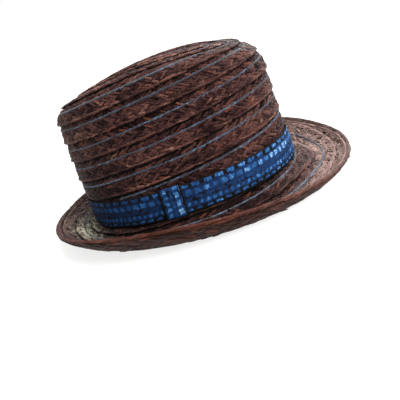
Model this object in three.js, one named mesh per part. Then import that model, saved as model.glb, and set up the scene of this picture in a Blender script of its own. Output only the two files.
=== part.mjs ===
// A stingy-brim straw fedora: raffia braid crown and brim, a cloth hat band and the keeper over its join.
// Millimetres, +Z up, +X to the front. The brim's underside lies on z = 0, as the hat rests on a table.
import * as THREE from "three";

// Driving dimensions. The hat is drawn square to its band, whose lower edge is height 0, then set down.
const wall = 2.4; // sewn braid, two plies where the rows overlap
const clear = 0.3; // between neighbouring pieces
const ovalPower = 2.1; // plan shape, 2 being an ellipse
const crownFoot = 3; // height where the crown ends and the brim begins, under the band
const bendFoot = 0.2; // height where the brim's top face leaves the crown's line
const courseProud = 0.8; // how far each row's lower edge stands over the row below
const lipDrop = 1.6; // height in which a row's lower edge steps back to the row below
const courseMiddle = 8; // height of a row's middle over its lower edge
const brimProud = 0.5; // the same step on the brim
const rimRoll = 1.3; // extra thickness of the doubled rim
const brimSkew = 2.6; // the brim sits lower on the right of the front than on the left
const restRise = 0.0584; // slope of the band over the table, front edge high
const restHeight = 9.8; // band's lower edge over the table, at mid length
const restSink = 0.45; // how far the straw is flattened where it touches the table
const bandFoot = 1.0;
const bandTop = 26.6;
const bandThick = 1.2;
const keeperFrom = 267.0; // degrees round from the front, anticlockwise from above
const keeperTo = 278.0;
const keeperThick = 1.1;
const keeperTopLap = 1.1; // cloth of the keeper that turns in over the band's upper edge
const keeperFootLap = 0.4; // and under its lower edge, where the brim is near
const keeperTopTurn = 1.1; // how far in each lap reaches
const keeperFootTurn = 0.6;
const around = 72; // facets round the hat
const keeperFacets = 8;
const tilt = Math.atan(restRise);

// The crown's outer face from foot to tip: reach to front, back and side, and height at the ends and sides.
const crownLevels = [
  { up: 0.0, front: 103.0, back: 103.0, side: 84.1, endHeight: 0.0, sideHeight: 0.0 },
  { up: 0.2, front: 102.6, back: 103.6, side: 78.6, endHeight: 27.0, sideHeight: 27.0 },
  { up: 0.4, front: 102.4, back: 103.8, side: 73.6, endHeight: 54.0, sideHeight: 55.0 },
  { up: 0.6, front: 103.0, back: 103.2, side: 67.6, endHeight: 80.0, sideHeight: 83.0 },
  { up: 0.7, front: 103.0, back: 102.8, side: 63.6, endHeight: 92.0, sideHeight: 101.0 },
  { up: 0.76, front: 100.0, back: 102.4, side: 61.2, endHeight: 100.5, sideHeight: 111.0 },
  { up: 0.82, front: 94.5, back: 98.2, side: 58.4, endHeight: 107.5, sideHeight: 118.0 },
  { up: 0.87, front: 85.5, back: 89.5, side: 52.0, endHeight: 113.0, sideHeight: 122.6 },
  { up: 0.93, front: 58.0, back: 60.0, side: 35.0, endHeight: 122.0, sideHeight: 126.2 },
  { up: 0.97, front: 29.0, back: 29.0, side: 17.5, endHeight: 127.2, sideHeight: 128.0 },
  { up: 1.0, front: 0.5, back: 0.5, side: 0.3, endHeight: 128.6, sideHeight: 128.6 },
];

// Lower edges of the braid rows on the crown's side, as heights up the crown.
const courseEdges = [27.0, 45.5, 64.0, 82.5, 98.5, 112.0];

// Outer edges of the brim's rows, as shares of its width, the step at each, and the crease inside the rim.
const brimRowEdges = [0.3, 0.64];
const brimLip = 0.03;
const brimRowMiddle = 0.14;
const rimCrease = 0.93;

// The brim from front to back, in degrees: its width, and the rim's height over the band's lower edge.
const brimSections = [
  { angle: 0, width: 46.0, rim: -8.6 },
  { angle: 30, width: 48.4, rim: -4.4 },
  { angle: 60, width: 52.0, rim: 6.2 },
  { angle: 90, width: 53.2, rim: 15.2 },
  { angle: 120, width: 46.2, rim: 15.6 },
  { angle: 150, width: 36.6, rim: 12.0 },
  { angle: 180, width: 34.4, rim: 9.4 },
];

// Smooth curve through the rows of a table, read at key = at.
function readTable(table, key, column, at) {
  const last = table.length - 2;
  let i = table.findIndex((row, k) => k > last || table[k + 1][key] >= at);
  i = Math.min(Math.max(i, 0), last);
  const slope = (k) => {
    const a = table[Math.max(k - 1, 0)];
    const b = table[Math.min(k + 1, last + 1)];
    return (b[column] - a[column]) / (b[key] - a[key]);
  };
  const span = table[i + 1][key] - table[i][key];
  const t = (at - table[i][key]) / span;
  const rise = table[i + 1][column] - table[i][column];
  const bendIn = slope(i) * span - rise;
  const bendOut = rise - slope(i + 1) * span;
  return table[i][column] + rise * t + t * (1 - t) * ((1 - t) * bendIn + t * bendOut);
}

// A point of an oval at an angle, with its own reach to front and back, and the direction square to it.
function ovalPoint(angle, front, back, side) {
  const c = Math.cos(angle);
  const s = Math.sin(angle);
  const reach = c > 0 ? front : back;
  const bend = (v) => Math.sign(v) * Math.abs(v) ** (2 / ovalPower);
  const outward = new THREE.Vector2(c / reach, s / side).normalize();
  return { x: reach * bend(c), y: side * bend(s), outward };
}

// From the band's frame to the table's.
function setDown(p) {
  const across = p.x * Math.cos(tilt) - p.z * Math.sin(tilt);
  const up = p.x * Math.sin(tilt) + (p.z + restHeight) * Math.cos(tilt);
  return new THREE.Vector3(across, p.y, up);
}

// Outer face of the crown at a share of its way from foot to tip.
function crownFace(up, angle) {
  const size = (column) => readTable(crownLevels, "up", column, up);
  const p = ovalPoint(angle, size("front"), size("back"), size("side"));
  const ends = Math.cos(angle) ** 2;
  const z = size("endHeight") * ends + size("sideHeight") * (1 - ends);
  return new THREE.Vector3(p.x, p.y, z);
}

// Upper face of the brim at a share of its way from band to rim.
function brimFace(out, angle) {
  const degrees = Math.abs(THREE.MathUtils.radToDeg(angle - 2 * Math.PI * Math.round(angle / (2 * Math.PI))));
  const width = readTable(brimSections, "angle", "width", degrees);
  const skew = brimSkew * Math.sin(angle) * Math.cos(angle / 2) ** 2;
  const rim = readTable(brimSections, "angle", "rim", degrees) + skew;
  const foot = crownLevels[0];
  const p = ovalPoint(angle, foot.front, foot.back, foot.side);
  let share = 0.4; // where the valley lies across the brim, found in a few passes
  let sag = 0;
  for (let pass = 0; pass < 4; pass++) {
    const valley = restHeight + restRise * (p.x + share * width * p.outward.x) - wall + restSink;
    sag = (valley + Math.sqrt(valley * valley + valley * rim)) / 2;
    share = (2 * sag) / (rim + 4 * sag);
  }
  const z = rim * out * out - 4 * sag * out * (1 - out);
  return new THREE.Vector3(p.x + p.outward.x * width * out, p.y + p.outward.y * width * out, z);
}

// The direction a face looks in, from its two tangents.
function faceNormal(face, u, angle, flip) {
  const du = 1e-3;
  const low = Math.max(u - du, 0);
  const high = Math.min(u + du, 1);
  const alongU = face(high, angle).sub(face(low, angle));
  const alongAngle = face(u, angle + du).sub(face(u, angle - du));
  return alongAngle.cross(alongU).multiplyScalar(flip).normalize();
}

const angles = Array.from({ length: around }, (_, i) => (2 * Math.PI * i) / around);

// One ring of a face, moved off it by a depth.
function ring(face, u, depth, flip = 1) {
  return angles.map((angle) => face(u, angle).addScaledVector(faceNormal(face, u, angle, flip), depth));
}

// Skin over rings in order, closed back to the first ring, at two poles or with a flat cap of a flat outline.
function loft(rings, ends, outline = []) {
  const count = rings[0].length;
  const points = rings.flat().map(setDown);
  const faces = [];
  const span = ends === "loop" ? rings.length : rings.length - 1;
  for (let j = 0; j < span; j++) {
    const a = j * count;
    const b = ((j + 1) % rings.length) * count;
    for (let i = 0; i < count; i++) {
      const next = (i + 1) % count;
      faces.push(a + i, a + next, b + next, a + i, b + next, b + i);
    }
  }
  if (ends === "caps") {
    const top = (rings.length - 1) * count;
    const corners = outline.map(([height, depth]) => new THREE.Vector2(depth, height));
    for (const [a, b, c] of THREE.ShapeUtils.triangulateShape(corners, [])) {
      faces.push(a, b, c, top + a, top + c, top + b);
    }
  }
  if (ends === "poles") {
    const middle = (from) => points.slice(from, from + count)
      .reduce((sum, p) => sum.add(p), new THREE.Vector3()).divideScalar(count);
    const top = (rings.length - 1) * count;
    const poleA = points.push(middle(0)) - 1;
    const poleB = points.push(middle(top)) - 1;
    for (let i = 0; i < count; i++) {
      const next = (i + 1) % count;
      faces.push(poleA, next, i, poleB, top + i, top + next);
    }
  }
  const geometry = new THREE.BufferGeometry().setFromPoints(points);
  geometry.setIndex(faces);
  geometry.computeVertexNormals();
  return geometry;
}

// The share of the crown's way up at which its side is at a height.
function crownShare(height) {
  let low = 0;
  let high = 1;
  for (let step = 0; step < 30; step++) {
    const mid = (low + high) / 2;
    const here = readTable(crownLevels, "up", "sideHeight", mid);
    if (here < height) low = mid;
    else high = mid;
  }
  return low;
}

// Crown: each row of braid swells towards its lower edge, which stands over the row below.
function makeCrown() {
  const foot = crownShare(crownFoot + clear);
  const tipShares = [0.86, 0.895, 0.93, 0.96, 0.985];
  const innerShares = [foot, 0.14, 0.28, 0.42, 0.56, 0.68, 0.76, 0.83, 0.89, 0.95, 0.985];
  const inner = innerShares.map((up) => ring(crownFace, up, -wall)).reverse();
  const outer = [ring(crownFace, foot, 0)];
  for (const edge of courseEdges) {
    outer.push(ring(crownFace, crownShare(edge - lipDrop), 0));
    outer.push(ring(crownFace, crownShare(edge), courseProud));
    outer.push(ring(crownFace, crownShare(edge + courseMiddle), courseProud / 2));
  }
  outer.push(...tipShares.map((up) => ring(crownFace, up, 0)));
  return loft([...inner, ...outer], "poles");
}

// Brim: leaves the crown's foot, turns down and out, lies on the table in a ring and curls up to the rim.
function makeBrim() {
  const foot = crownShare(crownFoot);
  const collarIn = ring(crownFace, foot, -wall);
  const collarOut = ring(crownFace, foot, 0);
  const settle = (p) => {
    const table = -restHeight - restRise * p.x;
    p.z = Math.max(p.z, table);
    return p;
  };
  const lowerShares = [0.06, 0.18, 0.28, 0.36, 0.44, 0.52, 0.62, 0.76, 0.9];
  const lower = lowerShares.map((out) => ring(brimFace, out, -wall, -1).map(settle));
  lower.push(ring(brimFace, 1, -wall - rimRoll, -1).map(settle));
  const upper = [ring(crownFace, crownShare(bendFoot), 0), ring(brimFace, 0.05, 0, -1)];
  for (const edge of brimRowEdges) {
    upper.push(ring(brimFace, edge - brimLip, brimProud, -1));
    upper.push(ring(brimFace, edge, 0, -1));
    upper.push(ring(brimFace, edge + brimRowMiddle, brimProud / 3, -1));
  }
  upper.push(ring(brimFace, rimCrease, 0, -1), ring(brimFace, 1, brimProud, -1));
  return loft([collarIn, ...lower, ...upper.reverse(), collarOut], "loop");
}

// A strip of cloth round the crown's foot, between two heights.
function clothRing(height, depth) {
  return ring(crownFace, crownShare(height), depth);
}

// Hat band: a flat strip that follows the crown's taper.
function makeHatBand() {
  const inside = courseProud + clear;
  const heights = [bandFoot, (bandFoot + bandTop) / 2, bandTop];
  const inner = heights.map((height) => clothRing(height, inside)).reverse();
  const outer = heights.map((height) => clothRing(height, inside + bandThick));
  return loft([...inner, ...outer], "loop");
}

// Keeper: the same cloth wrapped over the band's join, its ends turned in over both edges of the band.
function makeKeeper() {
  const bandFace = courseProud + clear + bandThick;
  const inner = bandFace + clear;
  const outer = inner + keeperThick;
  const low = bandFoot - clear;
  const high = bandTop + clear;
  const outline = [
    [high + keeperTopLap, outer],
    [low - keeperFootLap, outer],
    [low - keeperFootLap, inner - keeperFootTurn],
    [low, inner - keeperFootTurn],
    [low, inner],
    [high, inner],
    [high, inner - keeperTopTurn],
    [high + keeperTopLap, inner - keeperTopTurn],
  ];
  const sections = [];
  for (let i = 0; i <= keeperFacets; i++) {
    const angle = THREE.MathUtils.degToRad(keeperFrom + ((keeperTo - keeperFrom) * i) / keeperFacets);
    sections.push(outline.map(([height, depth]) => {
      const up = crownShare(height);
      return crownFace(up, angle).addScaledVector(faceNormal(crownFace, up, angle, 1), depth);
    }));
  }
  return loft(sections, "caps", outline);
}

const finishes = {
  raffia: { color: 0x4f3029, roughness: 0.62, metalness: 0 },
  indigoCloth: { color: 0x21498c, roughness: 0.85, metalness: 0 },
};

function piece(name, geometry, finish) {
  const mesh = new THREE.Mesh(geometry, new THREE.MeshStandardMaterial(finishes[finish]));
  mesh.name = name;
  return mesh;
}

const hat = new THREE.Group();
hat.add(piece("crown", makeCrown(), "raffia"));
hat.add(piece("brim", makeBrim(), "raffia"));
hat.add(piece("hat_band", makeHatBand(), "indigoCloth"));
hat.add(piece("band_loop", makeKeeper(), "indigoCloth"));

// The origin is the middle of the hat's footprint, on the table.
const reach = new THREE.Box3().setFromObject(hat);
hat.position.set(-(reach.min.x + reach.max.x) / 2, 0, -reach.min.z);

export default hat;
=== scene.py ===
import math

import bmesh
import bpy
import numpy as np
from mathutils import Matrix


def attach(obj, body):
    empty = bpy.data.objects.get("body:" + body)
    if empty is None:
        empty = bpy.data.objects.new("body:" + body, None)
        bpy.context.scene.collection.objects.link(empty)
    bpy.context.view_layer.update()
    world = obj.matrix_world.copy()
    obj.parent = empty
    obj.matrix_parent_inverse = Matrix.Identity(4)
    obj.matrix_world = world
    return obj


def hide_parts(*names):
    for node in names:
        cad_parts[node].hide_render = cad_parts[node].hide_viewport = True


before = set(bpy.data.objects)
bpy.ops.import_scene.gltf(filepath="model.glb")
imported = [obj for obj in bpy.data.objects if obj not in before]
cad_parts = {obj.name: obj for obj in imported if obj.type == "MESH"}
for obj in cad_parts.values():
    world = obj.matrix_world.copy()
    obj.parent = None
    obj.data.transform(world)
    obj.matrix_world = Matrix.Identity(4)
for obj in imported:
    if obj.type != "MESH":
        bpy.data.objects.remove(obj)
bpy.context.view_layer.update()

scene = bpy.context.scene
luck = np.random.default_rng(27)


def linear(hexColour):
    channels = [int(hexColour[i:i + 2], 16) / 255 for i in (1, 3, 5)]
    return tuple(c / 12.92 if c <= 0.04045 else ((c + 0.055) / 1.055) ** 2.4 for c in channels) + (1.0,)


def addNode(tree, kind, inputs=(), stops=(), **settings):
    made = tree.nodes.new(kind)
    for name, value in settings.items():
        setattr(made, name, value)
    if stops:
        elements = made.color_ramp.elements
        while len(elements) < len(stops):
            elements.new(0.5)
        for element, (place, colour) in zip(elements, stops):
            element.position = place
            element.color = linear(colour)
    pairs = inputs.items() if isinstance(inputs, dict) else enumerate(inputs)
    for key, value in pairs:
        if isinstance(value, bpy.types.Node):
            value = next(out for out in value.outputs if out.enabled)
        if isinstance(value, bpy.types.NodeSocket):
            tree.links.new(value, made.inputs[key])
        elif value is not None:
            made.inputs[key].default_value = value
    return made


def inTurn(tree, value, *steps, kind="ShaderNodeMath"):
    # nodes in a row, each working on the one before it: operation and second value
    for operation, second in steps:
        value = addNode(tree, kind, (value, second), operation=operation)
    return value


def newMaterial(name):
    material = bpy.data.materials.new(name)
    material.use_nodes = True
    return material, material.node_tree, material.node_tree.nodes["Principled BSDF"]


def setPlain(shader, values):
    for key, value in values.items():
        shader.inputs[key].default_value = value


def dress(tree, shader, colour, relief, strength, distance):
    # colour, and relief as a bump of that height in metres
    tree.links.new(colour, shader.inputs["Base Color"])
    bump = addNode(tree, "ShaderNodeBump", {"Strength": strength, "Distance": distance, "Height": relief})
    tree.links.new(bump.outputs["Normal"], shader.inputs["Normal"])


# camera, floor and lights

view = {
    "place": (0.1475, -0.4849, 0.1760),
    "turn": (68.85, 17.43, 10.84),  # degrees; the middle one rolls the view, the hat stays level
    "lens": 48.05,
}
cameraData = bpy.data.cameras.new("camera")
cameraData.lens = view["lens"]
cameraData.sensor_width = 36
cameraData.clip_start = 0.01
camera = bpy.data.objects.new("camera", cameraData)
camera.location = view["place"]
camera.rotation_euler = [math.radians(a) for a in view["turn"]]
scene.collection.objects.link(camera)
scene.camera = camera
scene.view_settings.view_transform = "Standard"

studio = {
    "worldStrength": 1.0,
    "floorHalf": 12.0,
    "floorGlow": 0.76,
    "floorColour": "#8b8a88",
    "aimAt": (0.0, 0.0, 0.05),
    "lights": [  # name, place, size, watts
        ("topLight", (0.35, 0.10, 1.25), 0.9, 26.0),
        ("keyLight", (1.10, -0.60, 0.80), 0.6, 30.0),
        ("rimLight", (0.45, 1.10, 0.80), 0.8, 14.0),
    ],
}
world = bpy.data.worlds.new("studioWorld")
world.use_nodes = True
white = linear("#ffffff")
setPlain(world.node_tree.nodes["Background"], {"Color": white, "Strength": studio["worldStrength"]})
scene.world = world
for name, place, size, watts in studio["lights"]:
    lamp = bpy.data.lights.new(name, "AREA")
    lamp.size = size
    lamp.energy = watts
    lampObject = bpy.data.objects.new(name, lamp)
    lampObject.location = place
    aim = np.array(studio["aimAt"]) - np.array(place)
    flat = math.hypot(aim[0], aim[1])
    lampObject.rotation_euler = (math.atan2(flat, -aim[2]), 0, math.atan2(aim[1], aim[0]) - math.pi / 2)
    scene.collection.objects.link(lampObject)

half = studio["floorHalf"]
floorMesh = bpy.data.meshes.new("floor")
corners = [(-half, -half, 0), (half, -half, 0), (half, half, 0), (-half, half, 0)]
floorMesh.from_pydata(corners, [], [(0, 1, 2, 3)])
floorPiece = bpy.data.objects.new("floor", floorMesh)
scene.collection.objects.link(floorPiece)
# matt paper that glows a little, so the hat stands on even white with a faint shadow
floorPaint, _, floorShader = newMaterial("matt_white_paper")
setPlain(floorShader, {
    "Base Color": linear(studio["floorColour"]),
    "Roughness": 0.9,
    "Emission Color": white,
    "Emission Strength": studio["floorGlow"],  # lit from below, like a light table
})
floorMesh.materials.append(floorPaint)
print("camera, floor and lights are up")

# the hat's form, in millimetres from the foot of the crown

hatForm = {
    "crown": np.array([  # share of the way up, reach to front, back and side, height at the ends and sides
        [0.00, 103.0, 103.0, 84.1, 0.0, 0.0],
        [0.20, 102.6, 103.6, 78.6, 27.0, 27.0],
        [0.40, 102.4, 103.8, 73.6, 54.0, 55.0],
        [0.60, 103.0, 103.2, 67.6, 80.0, 83.0],
        [0.70, 103.0, 102.8, 63.6, 92.0, 101.0],
        [0.76, 100.0, 102.4, 61.2, 100.5, 111.0],
        [0.82, 94.5, 98.2, 58.4, 107.5, 118.0],
        [0.87, 85.5, 89.5, 52.0, 113.0, 122.6],
        [0.93, 58.0, 60.0, 35.0, 122.0, 126.2],
        [0.97, 29.0, 29.0, 17.5, 127.2, 128.0],
        [1.00, 0.5, 0.5, 0.3, 128.6, 128.6],
    ]),
    "brim": np.array([  # degrees from the front, width, height of the rim over the crown's foot
        [0.0, 50.3, -6.6],
        [30.0, 50.9, -2.4],
        [60.0, 54.5, 8.2],
        [90.0, 55.7, 17.2],
        [120.0, 48.7, 17.6],
        [150.0, 39.1, 14.0],
        [180.0, 36.9, 11.4],
    ]),
    "ovalPower": 2.1,  # plan shape, 2 being an ellipse
    "brimSkew": 2.6,  # the brim sits lower on the right of the front than on the left
    "restRise": 0.0584,  # slope of the crown's foot once the hat stands on its brim
    "restHeight": 9.8,
    "wall": 2.4,
    "restSink": 0.45,  # how far the straw gives where it touches the table
    "toMiddle": -5.8523,  # brings the middle of the footprint over the origin
    "tipSink": 3.0,  # how much flatter the top is than the table above
    "tipReach": 60,
    "tipFrom": 0.87,  # share of the way up where the flat top begins
}
crownCourse = 181.0  # mm up the crown from its foot to the middle of the tip
easeFrom = 100  # mm up the crown, above which its length is eased to crownCourse
fullTurn = 2 * math.pi
finest = 0.5  # mm between the stored points of a surface
columns = 720


def tableAt(table, column, at):
    at = np.asarray(at, float)
    last = len(table) - 2
    i = np.clip(np.searchsorted(table[:, 0], at) - 1, 0, last)
    ends = [(np.maximum(k - 1, 0), np.minimum(k + 1, last + 1)) for k in (i, i + 1)]
    slopeIn, slopeOut = ((table[b, column] - table[a, column]) / (table[b, 0] - table[a, 0]) for a, b in ends)
    span = table[i + 1, 0] - table[i, 0]
    t = (at - table[i, 0]) / span
    rise = table[i + 1, column] - table[i, column]
    bendIn = slopeIn * span - rise
    bendOut = rise - slopeOut * span
    return table[i, column] + rise * t + t * (1 - t) * ((1 - t) * bendIn + t * bendOut)


def oval(angle, front, back, side):
    c, s = np.cos(angle), np.sin(angle)
    power = 2 / hatForm["ovalPower"]
    reach = np.where(c > 0, front, back)
    flatPlace = np.stack([reach * np.sign(c) * abs(c) ** power, side * np.sign(s) * abs(s) ** power], -1)
    outward = np.stack([c / reach, s / side], -1)
    return flatPlace, outward / np.linalg.norm(outward, axis=-1, keepdims=True)


def crownSide(share, angle):
    levels = hatForm["crown"]
    front, back, side, endHeight, sideHeight = (tableAt(levels, k, share) for k in range(1, 6))
    flatPlace, _ = oval(angle, front, back, side)
    c2 = np.cos(angle) ** 2
    z = endHeight * c2 + sideHeight * (1 - c2)
    return np.concatenate([flatPlace, z[..., None]], -1)


def crownTip(inward, angle):
    # rows on the flat top keep their width, so each ring is the shoulder's oval drawn in by the same amount
    levels = hatForm["crown"]
    start = hatForm["tipFrom"]
    front, back, side = (tableAt(levels, k, start) for k in (1, 2, 3))
    flatPlace, _ = oval(angle, front - inward, back - inward, np.maximum(side - inward, 1e-6))
    x, y = flatPlace[..., 0], flatPlace[..., 1]
    low, high = np.full(x.shape, start - 0.02), np.full(x.shape, 1.0)
    for _ in range(30):
        middle = (low + high) / 2
        reach = np.where(x > 0, tableAt(levels, 1, middle), tableAt(levels, 2, middle))
        side = tableAt(levels, 3, middle)
        outside = (abs(x) / reach) ** hatForm["ovalPower"] + (abs(y) / side) ** hatForm["ovalPower"] > 1
        high = np.where(outside, middle, high)
        low = np.where(outside, low, middle)
    c2 = np.clip((abs(x) / reach) ** hatForm["ovalPower"], 0, 1)
    z = tableAt(levels, 4, middle) * c2 + tableAt(levels, 5, middle) * (1 - c2)
    z = z - hatForm["tipSink"] * (1 - (1 - inward / start / hatForm["tipReach"]) ** 2)
    return np.stack([x, y, z], -1)


def brimTop(out, angle):
    degrees = abs((np.degrees(angle) + 180) % 360 - 180)
    width, rim = (tableAt(hatForm["brim"], k, degrees) for k in (1, 2))
    rim = rim + hatForm["brimSkew"] * np.sin(angle) * np.cos(angle / 2) ** 2
    foot = hatForm["crown"][0]
    flatPlace, outward = oval(angle, foot[1], foot[2], foot[3])
    share = 0.4
    for _ in range(4):
        lowX = flatPlace[..., 0] + share * width * outward[..., 0]
        valley = hatForm["restHeight"] + hatForm["restRise"] * lowX - hatForm["wall"] + hatForm["restSink"]
        sag = (valley + np.sqrt(valley ** 2 + valley * rim)) / 2
        share = 2 * sag / (rim + 4 * sag)
    z = rim * out ** 2 - 4 * sag * out * (1 - out)
    return np.concatenate([flatPlace + outward * (width * out)[..., None], z[..., None]], -1)


def settled(points):
    # onto the table, in metres: the crown's foot tips a little toward the back
    tilt = math.atan(hatForm["restRise"])
    x, y, z = np.moveaxis(points, -1, 0)
    z = z + hatForm["restHeight"]
    turned = [
        x * math.cos(tilt) - (z - hatForm["restHeight"]) * math.sin(tilt) + hatForm["toMiddle"],
        y,
        x * math.sin(tilt) + z * math.cos(tilt),
    ]
    return np.stack(turned, -1) / 1000


def evenly(strip, total=None):
    # each column's points again at equal steps of arc; with a total, the far part is eased to that length
    steps = np.linalg.norm(np.diff(strip, axis=1), axis=2)
    arc = np.concatenate([np.zeros((len(strip), 1)), np.cumsum(steps, 1)], 1)
    if total:
        spare = total - arc[:, -1:]
        arc = arc + spare * np.clip((arc - easeFrom) / (arc[:, -1:] - easeFrom), 0, 1)
    most = int(arc.max() / finest) + 2
    wanted = np.arange(most) * finest
    rows = [[np.interp(wanted, a, s[:, k]) for k in range(3)] for a, s in zip(arc, strip)]
    return np.moveaxis(np.array(rows), 1, 2), arc[:, -1]


angles = np.arange(columns) * fullTurn / columns
tipMost = float(hatForm["crown"][7, 3])  # half the width of the flat top
sideShares = np.linspace(0, hatForm["tipFrom"], 240)
tipInward = np.linspace(0.3, tipMost, 120)
sidePart = crownSide(sideShares[None, :], angles[:, None])
tipPart = crownTip(tipInward[None, :], angles[:, None])
crownStrip, _ = evenly(np.concatenate([sidePart, tipPart], 1), crownCourse)
brimStrip, brimArc = evenly(brimTop(np.linspace(0, 1, 160)[None, :], angles[:, None]))


def across(values, angle):
    place = np.asarray(angle) / fullTurn * columns
    i = np.floor(place).astype(int)
    t = place - i
    return values[i % columns] * (1 - t) + values[(i + 1) % columns] * t


def onStrip(strip, angle, arc):
    place = np.asarray(angle) / fullTurn * columns
    i = np.floor(place).astype(int)
    t = (place - i)[..., None]
    up = np.clip(np.asarray(arc) / finest, 0, strip.shape[1] - 1.001)
    j = np.floor(up).astype(int)
    s = (up - j)[..., None]
    a, b = i % columns, (i + 1) % columns
    low = strip[a, j] * (1 - t) + strip[b, j] * t
    high = strip[a, j + 1] * (1 - t) + strip[b, j + 1] * t
    return low * (1 - s) + high * s


def onHat(angle, course):
    # course counts up the crown from its foot, and below zero out over the brim
    angle, course = np.broadcast_arrays(np.asarray(angle, float), np.asarray(course, float))
    upper = onStrip(crownStrip, angle, np.maximum(course, 0))
    lower = onStrip(brimStrip, angle, np.clip(-course, 0, across(brimArc, angle)))
    return settled(np.where(course[..., None] >= 0, upper, lower))


def normalised(v):
    return v / np.maximum(np.linalg.norm(v, axis=-1, keepdims=True), 1e-12)


def hatFrame(angle, course, reach=1.2):
    # place, direction round the hat, direction up the course, outward normal
    angle = np.asarray(angle, float)
    course = np.asarray(course, float)
    step = 0.012  # radians either side
    low = np.where(course >= 0, np.maximum(course - reach, 0.0), course - reach)
    high = np.where(course >= 0, np.minimum(course + reach, crownCourse), np.minimum(course + reach, -0.001))
    low = np.maximum(low, -across(brimArc, angle))
    place = onHat(angle, course)
    around = normalised(onHat(angle + step, course) - onHat(angle - step, course))
    up = normalised(onHat(angle, high) - onHat(angle, low))
    outward = normalised(np.cross(around, up))
    return place, around, up, outward


# one braid runs in a spiral from the middle of the tip to the rim; a turn's lower edge laps over the next

spiral = {
    "crownEdges": np.array([  # turns, mm up from the foot
        [0.75, -1.8], [1.75, 15.2], [2.75, 34.8], [3.75, 54.3], [4.75, 73.5], [5.75, 91.3],
        [6.75, 109.2], [7.75, 128.5], [8.75, 149.0], [9.75, 169.5], [10.3, crownCourse], [12.0, crownCourse],
    ]),
    "brimEdges": np.array([  # turns, share of the brim's width
        [-4.0, 1.0], [-2.0, 1.0], [-1.75, 0.97], [-1.5, 0.90], [-1.39, 0.84], [-1.25, 0.70], [-1.06, 0.57],
        [-1.0, 0.70], [-0.97, 0.77], [-0.88, 0.90], [-0.75, 0.86], [-0.5, 0.62], [-0.39, 0.50], [-0.25, 0.33],
        [-0.08, 0.25], [-0.04, 0.25], [0.0, 0.32], [0.03, 0.39], [0.12, 0.54], [0.25, 0.48],
        [0.5, 0.27], [0.61, 0.15], [0.68, 0.10], [0.75, 0.028],
    ]),
    "crownTurns": (0.75, 11.9),  # the braid is on the crown between these
    "slope": 0.058,  # the rows climb toward the front of the crown
    "slopeOver": (20, 60),  # mm from the foot and from the tip in which that climb fades out
    "crease": 0.945,  # where the doubled edge of the brim starts
    "drop": np.array([  # turn of a lap, mm from it down to the row's stitches
        [-1.0, 9.8], [0.05, 9.8], [0.5, 8.5], [0.8, 8.3], [0.9, 6.4], [1.75, 4.0], [2.75, 3.2], [3.75, 6.4],
        [4.75, 7.6], [5.75, 6.8], [6.75, 5.2], [7.75, 9.0], [8.75, 7.0], [12.0, 7.0],
    ]),
    "lift": np.array([  # mm in from a row's lower edge, mm proud of the form
        [0.0, 0.6], [0.8, 1.15], [2.2, 0.75], [4.5, 0.65], [8.0, 0.45], [10.5, 0.0],
    ]),
    "liftUp": np.array([  # mm below the lap above, mm proud of the form
        [0.0, -2.6], [2.0, -2.3], [2.8, -1.3], [4.2, -0.5],
        [5.5, -0.65], [6.5, -0.85], [7.6, -0.5], [10.0, 0.2],
    ]),
    "edgeHold": (3.0, 0.4),  # mm in from a lower edge that the lap above can't press down, and how firmly
    # the laps lie flatter out on the front of the brim
    "pressed": {"most": 0.7, "spread": 1.4, "from": 12, "over": 10},
    "bandTop": 26.6,
}


def rowEdge(turn):
    # the course of a row's lower edge, at a place along the spiral counted in turns
    turn = np.asarray(turn, float)
    angle = turn * fullTurn
    first, last = spiral["crownTurns"]
    overFoot, overTip = spiral["slopeOver"]
    base = tableAt(spiral["crownEdges"], 1, np.clip(turn, first, last))
    share = np.clip(base / overFoot, 0, 1) * np.clip((crownCourse - base) / overTip, 0, 1)
    crown = base + spiral["slope"] * hatForm["crown"][0, 1] * np.cos(angle) * share
    brimShare = np.interp(turn, spiral["brimEdges"][:, 0], spiral["brimEdges"][:, 1])
    brim = -np.minimum(brimShare, spiral["crease"]) * across(brimArc, angle)
    return np.where(turn >= first, np.minimum(crown, crownCourse), brim)


def rowLift(fromEdge, toLap):
    rising = np.interp(fromEdge, spiral["lift"][:, 0], spiral["lift"][:, 1])
    sinking = np.interp(toLap, spiral["liftUp"][:, 0], spiral["liftUp"][:, 1])
    held, firmly = spiral["edgeHold"]
    return np.minimum(rising, sinking + np.clip(held - fromEdge, 0, held) * firmly)


def pressed(angle, course):
    # share of a lap's height that is left
    p = spiral["pressed"]
    outside = np.clip((-course - p["from"]) / p["over"], 0, 1)
    return 1 - p["most"] * np.clip(np.cos(angle) * p["spread"], 0, 1) * outside


def liftOn(angle, course):
    # how proud the braid stands anywhere on the hat
    angle, course = np.broadcast_arrays(angle, course)
    turns = np.arange(-4, 12)
    edges = np.stack([rowEdge(k + (angle % fullTurn) / fullTurn) for k in turns])
    inside = np.clip((edges <= course[None]).sum(0) - 1, 0, len(turns) - 2)
    low = np.take_along_axis(edges, inside[None], 0)[0]
    high = np.take_along_axis(edges, inside[None] + 1, 0)[0]
    return rowLift(course - low, high - course) * pressed(angle, course)


print("hat form measured, rim", np.round(brimArc.max(), 1), "mm wide at most")


offTable = {  # metres that each layer keeps off the table, so that none is pressed flat
    "shell": 0.0008,
    "brimFace": 0.0012,
    "braid": 0.0010,
    "under": 0.0005,
    "all": 0.0001,
}


def raised(points, layer):
    points[:, 2] = np.maximum(points[:, 2], offTable[layer])
    return points


def makePiece(name, points, faces, material):
    mesh = bpy.data.meshes.new(name)
    mesh.from_pydata([tuple(p) for p in points], [], faces)
    mesh.materials.append(material)
    mesh.polygons.foreach_set("use_smooth", [True] * len(mesh.polygons))
    mesh.update()
    piece = bpy.data.objects.new(name, mesh)
    scene.collection.objects.link(piece)
    return piece


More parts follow.
